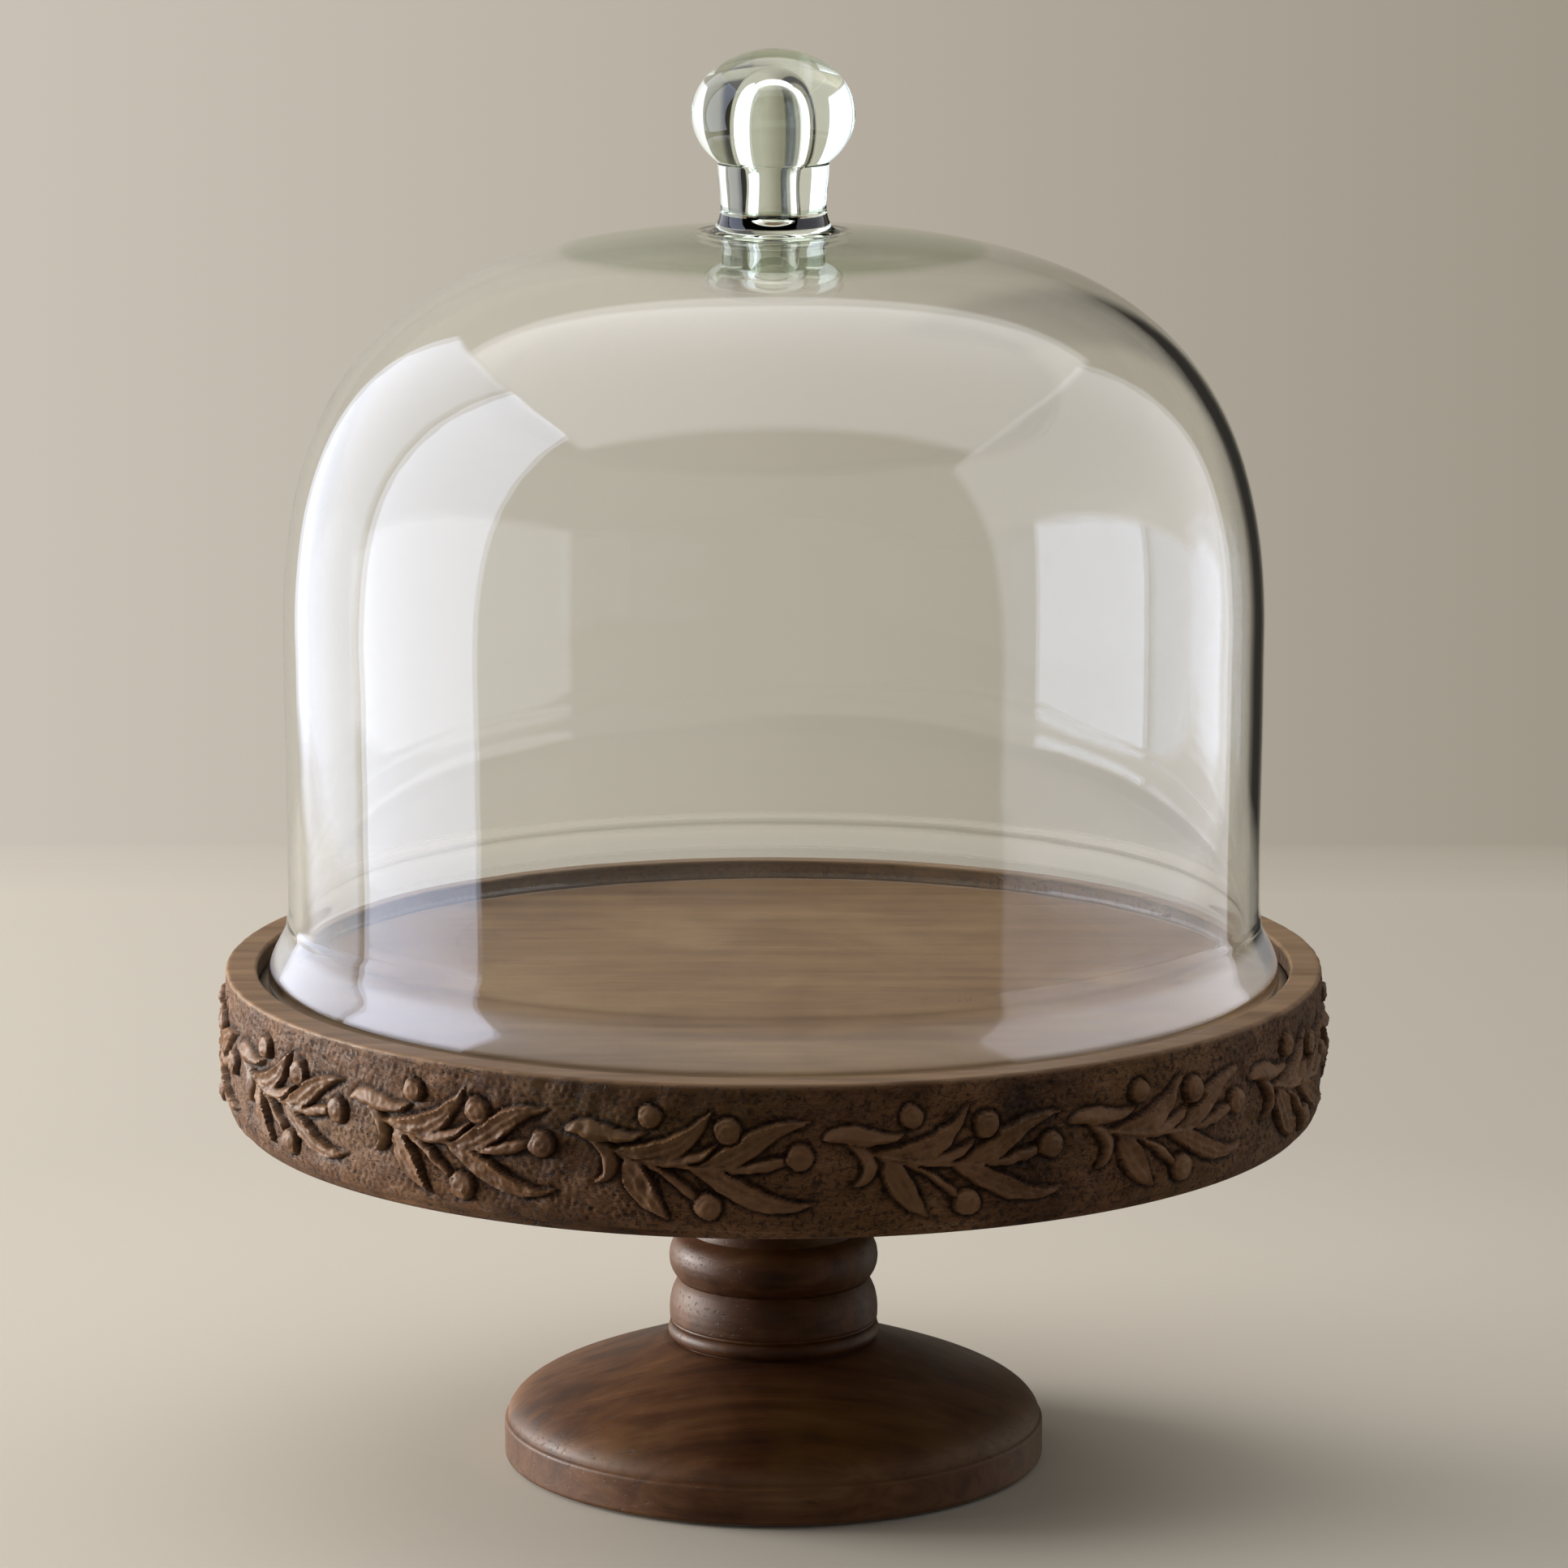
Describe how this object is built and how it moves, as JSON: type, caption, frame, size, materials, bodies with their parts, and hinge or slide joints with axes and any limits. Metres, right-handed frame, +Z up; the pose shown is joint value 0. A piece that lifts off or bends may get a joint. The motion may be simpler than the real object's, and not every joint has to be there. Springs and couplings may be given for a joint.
{
  "type": "bell jar on footed stand",
  "caption": "Clear glass bell jar with a ball knob, resting in the recess of a round carved wooden tray on a turned pedestal foot.",
  "frame": {"origin": "centre of the foot, on the surface the stand rests on", "axes": "+Z up along the axis of the bell and the stand; front is -Y; the tray floor's grain runs along X"},
  "size_m": [0.3088, 0.3088, 0.3967],
  "materials": {
    "clear_glass": "clear blown glass with a faint green tint, fire-polished",
    "carved_wood": "hand-carved, walnut stain with dark patina in the hollows, satin",
    "floor_wood": "walnut-stained, straight grain, satin",
    "turned_wood": "turned, cloudy walnut stain, satin",
    "plain_wood": "sawn and sanded, no stain",
    "fixing_steel": "zinc-plated",
    "insert_brass": "turned brass",
    "pad_felt": "pressed wool felt"
  },
  "bodies": {
    "stand": {"tray_rim": "carved_wood", "tray_floor": "floor_wood", "mounting_block": "plain_wood", "threaded_insert": "insert_brass", "pedestal_column": "turned_wood", "foot_disc": "turned_wood", "centre_bolt": "fixing_steel", "bolt_washer": "fixing_steel", "block_screw_1": "fixing_steel", "block_screw_2": "fixing_steel", "block_screw_3": "fixing_steel", "block_screw_4": "fixing_steel", "foot_pad_1": "pad_felt", "foot_pad_2": "pad_felt", "foot_pad_3": "pad_felt", "foot_pad_4": "pad_felt"},
    "dome": {"glass_dome": "clear_glass", "glass_knob": "clear_glass"}
  },
  "joints": [
    {"name": "dome_lift", "type": "slide", "parent": "stand", "child": "dome", "axis": [0, 0, 1], "range_m": [0, 0.25]}
  ]
}
